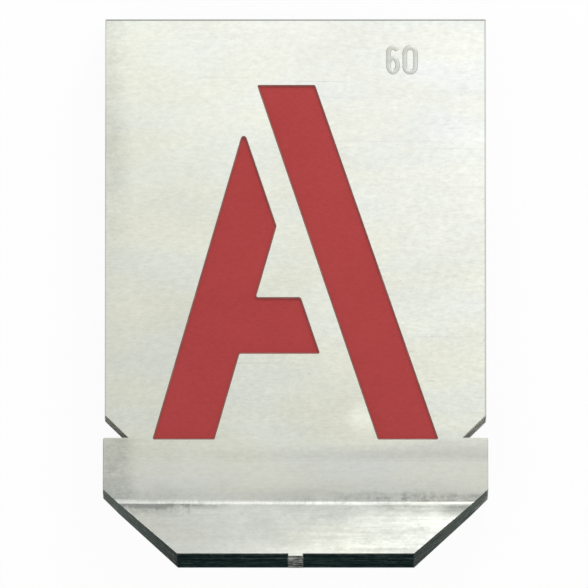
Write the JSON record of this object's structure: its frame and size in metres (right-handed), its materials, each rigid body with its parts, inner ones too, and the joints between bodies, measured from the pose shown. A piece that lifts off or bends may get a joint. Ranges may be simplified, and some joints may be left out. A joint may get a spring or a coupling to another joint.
{
  "type": "lettering stencil set",
  "caption": "Nested stack of thin sheet-metal lettering stencils, one capital to a plate, with side notches and a bent grip flap, and a red card behind the front plate.",
  "frame": {"origin": "under the middle of the stack, on the plane that the rear plate rests on", "axes": "+X to the right of the letters, +Y towards their head, +Z out of the lettered faces"},
  "size_m": [0.0644, 0.092, 0.0154],
  "materials": {
    "sheet": "satin, fine rolling lines",
    "card": "matte"
  },
  "bodies": {
    "stencil_a": {"stencil_a": "sheet"},
    "stencil_b": {"stencil_b": "sheet"},
    "stencil_c": {"stencil_c": "sheet"},
    "stencil_d": {"stencil_d": "sheet"},
    "stencil_e": {"stencil_e": "sheet"},
    "stencil_f": {"stencil_f": "sheet"},
    "stencil_g": {"stencil_g": "sheet"},
    "stencil_h": {"stencil_h": "sheet"},
    "stencil_i": {"stencil_i": "sheet"},
    "stencil_j": {"stencil_j": "sheet"},
    "stencil_k": {"stencil_k": "sheet"},
    "stencil_l": {"stencil_l": "sheet"},
    "stencil_m": {"stencil_m": "sheet"},
    "stencil_n": {"stencil_n": "sheet"},
    "stencil_o": {"stencil_o": "sheet"},
    "stencil_p": {"stencil_p": "sheet"},
    "stencil_q": {"stencil_q": "sheet"},
    "stencil_r": {"stencil_r": "sheet"},
    "stencil_s": {"stencil_s": "sheet"},
    "stencil_t": {"stencil_t": "sheet"},
    "stencil_u": {"stencil_u": "sheet"},
    "stencil_v": {"stencil_v": "sheet"},
    "stencil_w": {"stencil_w": "sheet"},
    "stencil_x": {"stencil_x": "sheet"},
    "stencil_y": {"stencil_y": "sheet"},
    "stencil_z": {"stencil_z": "sheet"},
    "red_card": {"red_card": "card"}
  },
  "joints": [
    {"name": "stencil_a_slide", "type": "slide", "parent": "stencil_z", "child": "stencil_a", "axis": [1, 0, 0], "range_m": [0, 0.07]},
    {"name": "stencil_b_slide", "type": "slide", "parent": "stencil_z", "child": "stencil_b", "axis": [1, 0, 0], "range_m": [0, 0.07]},
    {"name": "stencil_c_slide", "type": "slide", "parent": "stencil_z", "child": "stencil_c", "axis": [1, 0, 0], "range_m": [0, 0.07]},
    {"name": "stencil_d_slide", "type": "slide", "parent": "stencil_z", "child": "stencil_d", "axis": [1, 0, 0], "range_m": [0, 0.07]},
    {"name": "stencil_e_slide", "type": "slide", "parent": "stencil_z", "child": "stencil_e", "axis": [1, 0, 0], "range_m": [0, 0.07]},
    {"name": "stencil_f_slide", "type": "slide", "parent": "stencil_z", "child": "stencil_f", "axis": [1, 0, 0], "range_m": [0, 0.07]},
    {"name": "stencil_g_slide", "type": "slide", "parent": "stencil_z", "child": "stencil_g", "axis": [1, 0, 0], "range_m": [0, 0.07]},
    {"name": "stencil_h_slide", "type": "slide", "parent": "stencil_z", "child": "stencil_h", "axis": [1, 0, 0], "range_m": [0, 0.07]},
    {"name": "stencil_i_slide", "type": "slide", "parent": "stencil_z", "child": "stencil_i", "axis": [1, 0, 0], "range_m": [0, 0.07]},
    {"name": "stencil_j_slide", "type": "slide", "parent": "stencil_z", "child": "stencil_j", "axis": [1, 0, 0], "range_m": [0, 0.07]},
    {"name": "stencil_k_slide", "type": "slide", "parent": "stencil_z", "child": "stencil_k", "axis": [1, 0, 0], "range_m": [0, 0.07]},
    {"name": "stencil_l_slide", "type": "slide", "parent": "stencil_z", "child": "stencil_l", "axis": [1, 0, 0], "range_m": [0, 0.07]},
    {"name": "stencil_m_slide", "type": "slide", "parent": "stencil_z", "child": "stencil_m", "axis": [1, 0, 0], "range_m": [0, 0.07]},
    {"name": "stencil_n_slide", "type": "slide", "parent": "stencil_z", "child": "stencil_n", "axis": [1, 0, 0], "range_m": [0, 0.07]},
    {"name": "stencil_o_slide", "type": "slide", "parent": "stencil_z", "child": "stencil_o", "axis": [1, 0, 0], "range_m": [0, 0.07]},
    {"name": "stencil_p_slide", "type": "slide", "parent": "stencil_z", "child": "stencil_p", "axis": [1, 0, 0], "range_m": [0, 0.07]},
    {"name": "stencil_q_slide", "type": "slide", "parent": "stencil_z", "child": "stencil_q", "axis": [1, 0, 0], "range_m": [0, 0.07]},
    {"name": "stencil_r_slide", "type": "slide", "parent": "stencil_z", "child": "stencil_r", "axis": [1, 0, 0], "range_m": [0, 0.07]},
    {"name": "stencil_s_slide", "type": "slide", "parent": "stencil_z", "child": "stencil_s", "axis": [1, 0, 0], "range_m": [0, 0.07]},
    {"name": "stencil_t_slide", "type": "slide", "parent": "stencil_z", "child": "stencil_t", "axis": [1, 0, 0], "range_m": [0, 0.07]},
    {"name": "stencil_u_slide", "type": "slide", "parent": "stencil_z", "child": "stencil_u", "axis": [1, 0, 0], "range_m": [0, 0.07]},
    {"name": "stencil_v_slide", "type": "slide", "parent": "stencil_z", "child": "stencil_v", "axis": [1, 0, 0], "range_m": [0, 0.07]},
    {"name": "stencil_w_slide", "type": "slide", "parent": "stencil_z", "child": "stencil_w", "axis": [1, 0, 0], "range_m": [0, 0.07]},
    {"name": "stencil_x_slide", "type": "slide", "parent": "stencil_z", "child": "stencil_x", "axis": [1, 0, 0], "range_m": [0, 0.07]},
    {"name": "stencil_y_slide", "type": "slide", "parent": "stencil_z", "child": "stencil_y", "axis": [1, 0, 0], "range_m": [0, 0.07]},
    {"name": "red_card_slide", "type": "slide", "parent": "stencil_z", "child": "red_card", "axis": [1, 0, 0], "range_m": [0, 0.07]}
  ]
}
